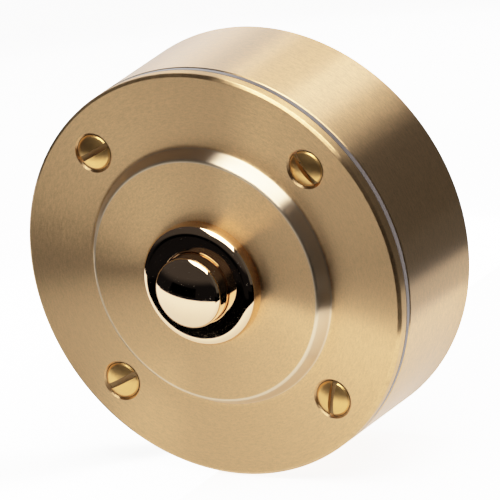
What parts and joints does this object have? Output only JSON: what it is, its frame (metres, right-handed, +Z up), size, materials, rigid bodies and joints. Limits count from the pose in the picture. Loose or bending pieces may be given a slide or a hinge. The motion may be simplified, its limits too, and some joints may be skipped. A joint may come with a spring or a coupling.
{
  "type": "doorbell push button",
  "caption": "Round surface-mounted bell push: satin brass drum and turned plate held by slotted screws, with a polished bezel round a sprung domed button.",
  "frame": {"origin": "centre of the flat back face that lies on the wall", "axes": "+Y into the wall, so the button looks along -Y; +Z up; +X to the right as seen from the front"},
  "size_m": [0.08, 0.0394, 0.08],
  "materials": {
    "satin_brass": "turned and brushed in circles, satin",
    "polished_brass": "polished to a mirror",
    "plain_brass": "as turned or punched",
    "spring_steel": "bright drawn",
    "grey_silicone": "translucent matte sheet",
    "black_rubber": "matte moulded",
    "black_moulding": "moulded, slightly grained",
    "pale_nylon": "turned nylon"
  },
  "bodies": {
    "body": {"housing": "satin_brass", "front_plate": "satin_brass", "cover_gasket": "grey_silicone", "cover_screws": "polished_brass", "cable_grommet": "black_rubber", "button_bezel": "polished_brass", "bezel_seal": "black_rubber", "lock_washer": "spring_steel", "lock_nut": "plain_brass", "return_spring": "spring_steel", "switch_base": "black_moulding", "contact_left": "plain_brass", "contact_right": "plain_brass", "terminal_clamps": "plain_brass", "terminal_screws": "plain_brass", "snap_ring": "spring_steel"},
    "plunger": {"button_cap": "polished_brass", "plunger_seal": "black_rubber", "insulating_bush": "pale_nylon", "contact_disc": "plain_brass", "insulating_washer": "pale_nylon", "retaining_clip": "spring_steel"}
  },
  "joints": [
    {"name": "button_press", "type": "slide", "parent": "body", "child": "plunger", "axis": [0, 1, 0], "range_m": [0, 0.002], "stiffness_N_per_m": 600, "springref_m": -0.0015, "deforming": ["return_spring"]}
  ]
}
